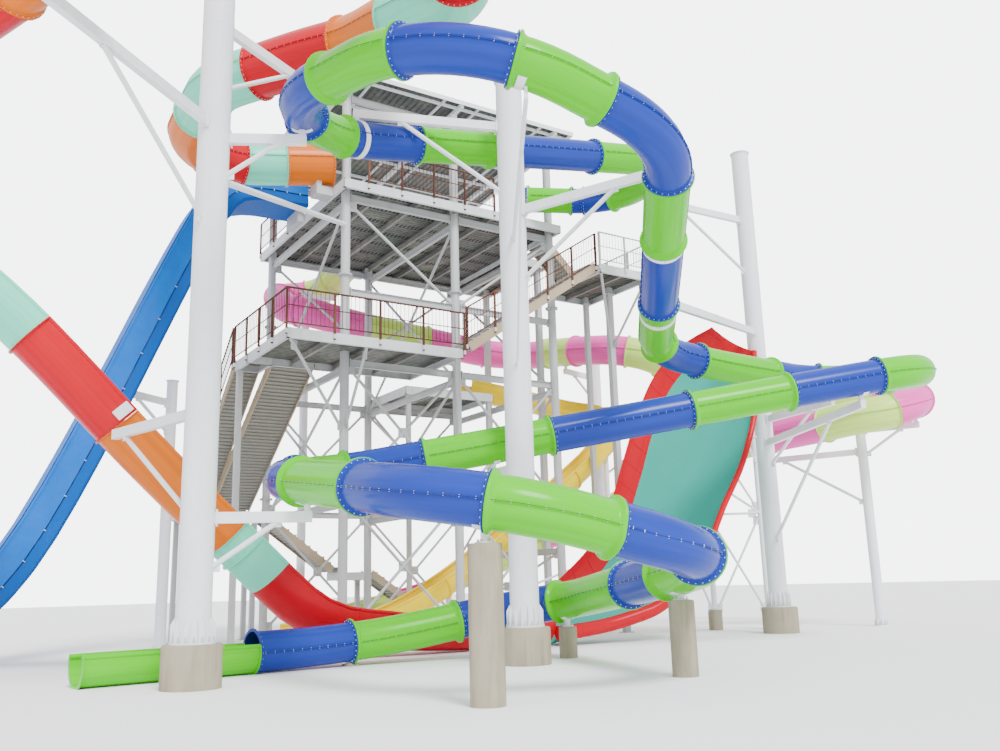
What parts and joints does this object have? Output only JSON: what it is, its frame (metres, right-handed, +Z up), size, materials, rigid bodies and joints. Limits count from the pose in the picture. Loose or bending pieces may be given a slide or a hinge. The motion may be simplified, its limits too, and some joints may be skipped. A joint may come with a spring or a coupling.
{
  "type": "water slide tower",
  "caption": "Tall steel stair tower that carries closed and open water slides on round masts, with a climbing wall slide.",
  "frame": {"origin": "centre of the underside of the middle mast's pedestal, at ground level", "axes": "+X along the tower's front, to the right as seen from the front; +Y from the front to the back; +Z up"},
  "size_m": [35.878, 25.0567, 16.81],
  "materials": {
    "white": "gloss",
    "galvanised": "satin",
    "deck": "satin",
    "rust": "satin",
    "concrete": "rough concrete",
    "lime": "gloss",
    "orange": "gloss",
    "teal": "satin",
    "red": "gloss",
    "azure": "matt",
    "pink": "satin",
    "yellow": "satin"
  },
  "bodies": {
    "root": {"body_slide_1": "lime", "body_slide_2": "lime", "body_slide_3": "lime", "body_slide_4": "lime", "body_slide_5": "lime", "body_slide_6": "lime", "body_slide_runout": "lime", "raft_slide_1": "orange", "raft_slide_2": "orange", "raft_slide_3": "orange", "raft_slide_4": "orange", "raft_slide_drop": "teal", "raft_slide_channel": "red", "speed_slide": "azure", "striped_slide_1": "pink", "striped_slide_2": "pink", "striped_slide_3": "pink", "striped_slide_4": "pink", "striped_slide_runout": "pink", "yellow_flume": "yellow", "climbing_wall": "teal", "climbing_wall_rim": "red", "climbing_wall_frame": "white", "mast_a": "white", "mast_a_pedestal": "concrete", "mast_b": "white", "mast_b_pedestal": "concrete", "mast_c": "white", "mast_c_pedestal": "concrete", "mast_d": "white", "mast_e": "white", "mast_f": "white", "mast_g": "white", "mast_h": "white", "pier_left": "concrete", "pier_right": "concrete", "low_footing_right": "concrete", "low_footing_left": "concrete", "flume_trestle": "white", "front_frame": "galvanised", "back_frame": "galvanised", "left_bracing": "galvanised", "middle_bracing": "galvanised", "right_bracing": "galvanised", "lower_deck": "deck", "upper_deck": "deck", "flume_deck": "deck", "stair_landing": "deck", "right_stair": "galvanised", "upper_stair": "galvanised", "left_upper_stair": "galvanised", "left_lower_stair": "galvanised", "left_landing": "deck", "lower_rail": "rust", "stair_rail": "rust", "landing_rail": "galvanised", "upper_front_rail": "rust", "upper_left_rail": "rust", "left_stair_rail": "rust", "roof": "white"}
  },
  "joints": []
}
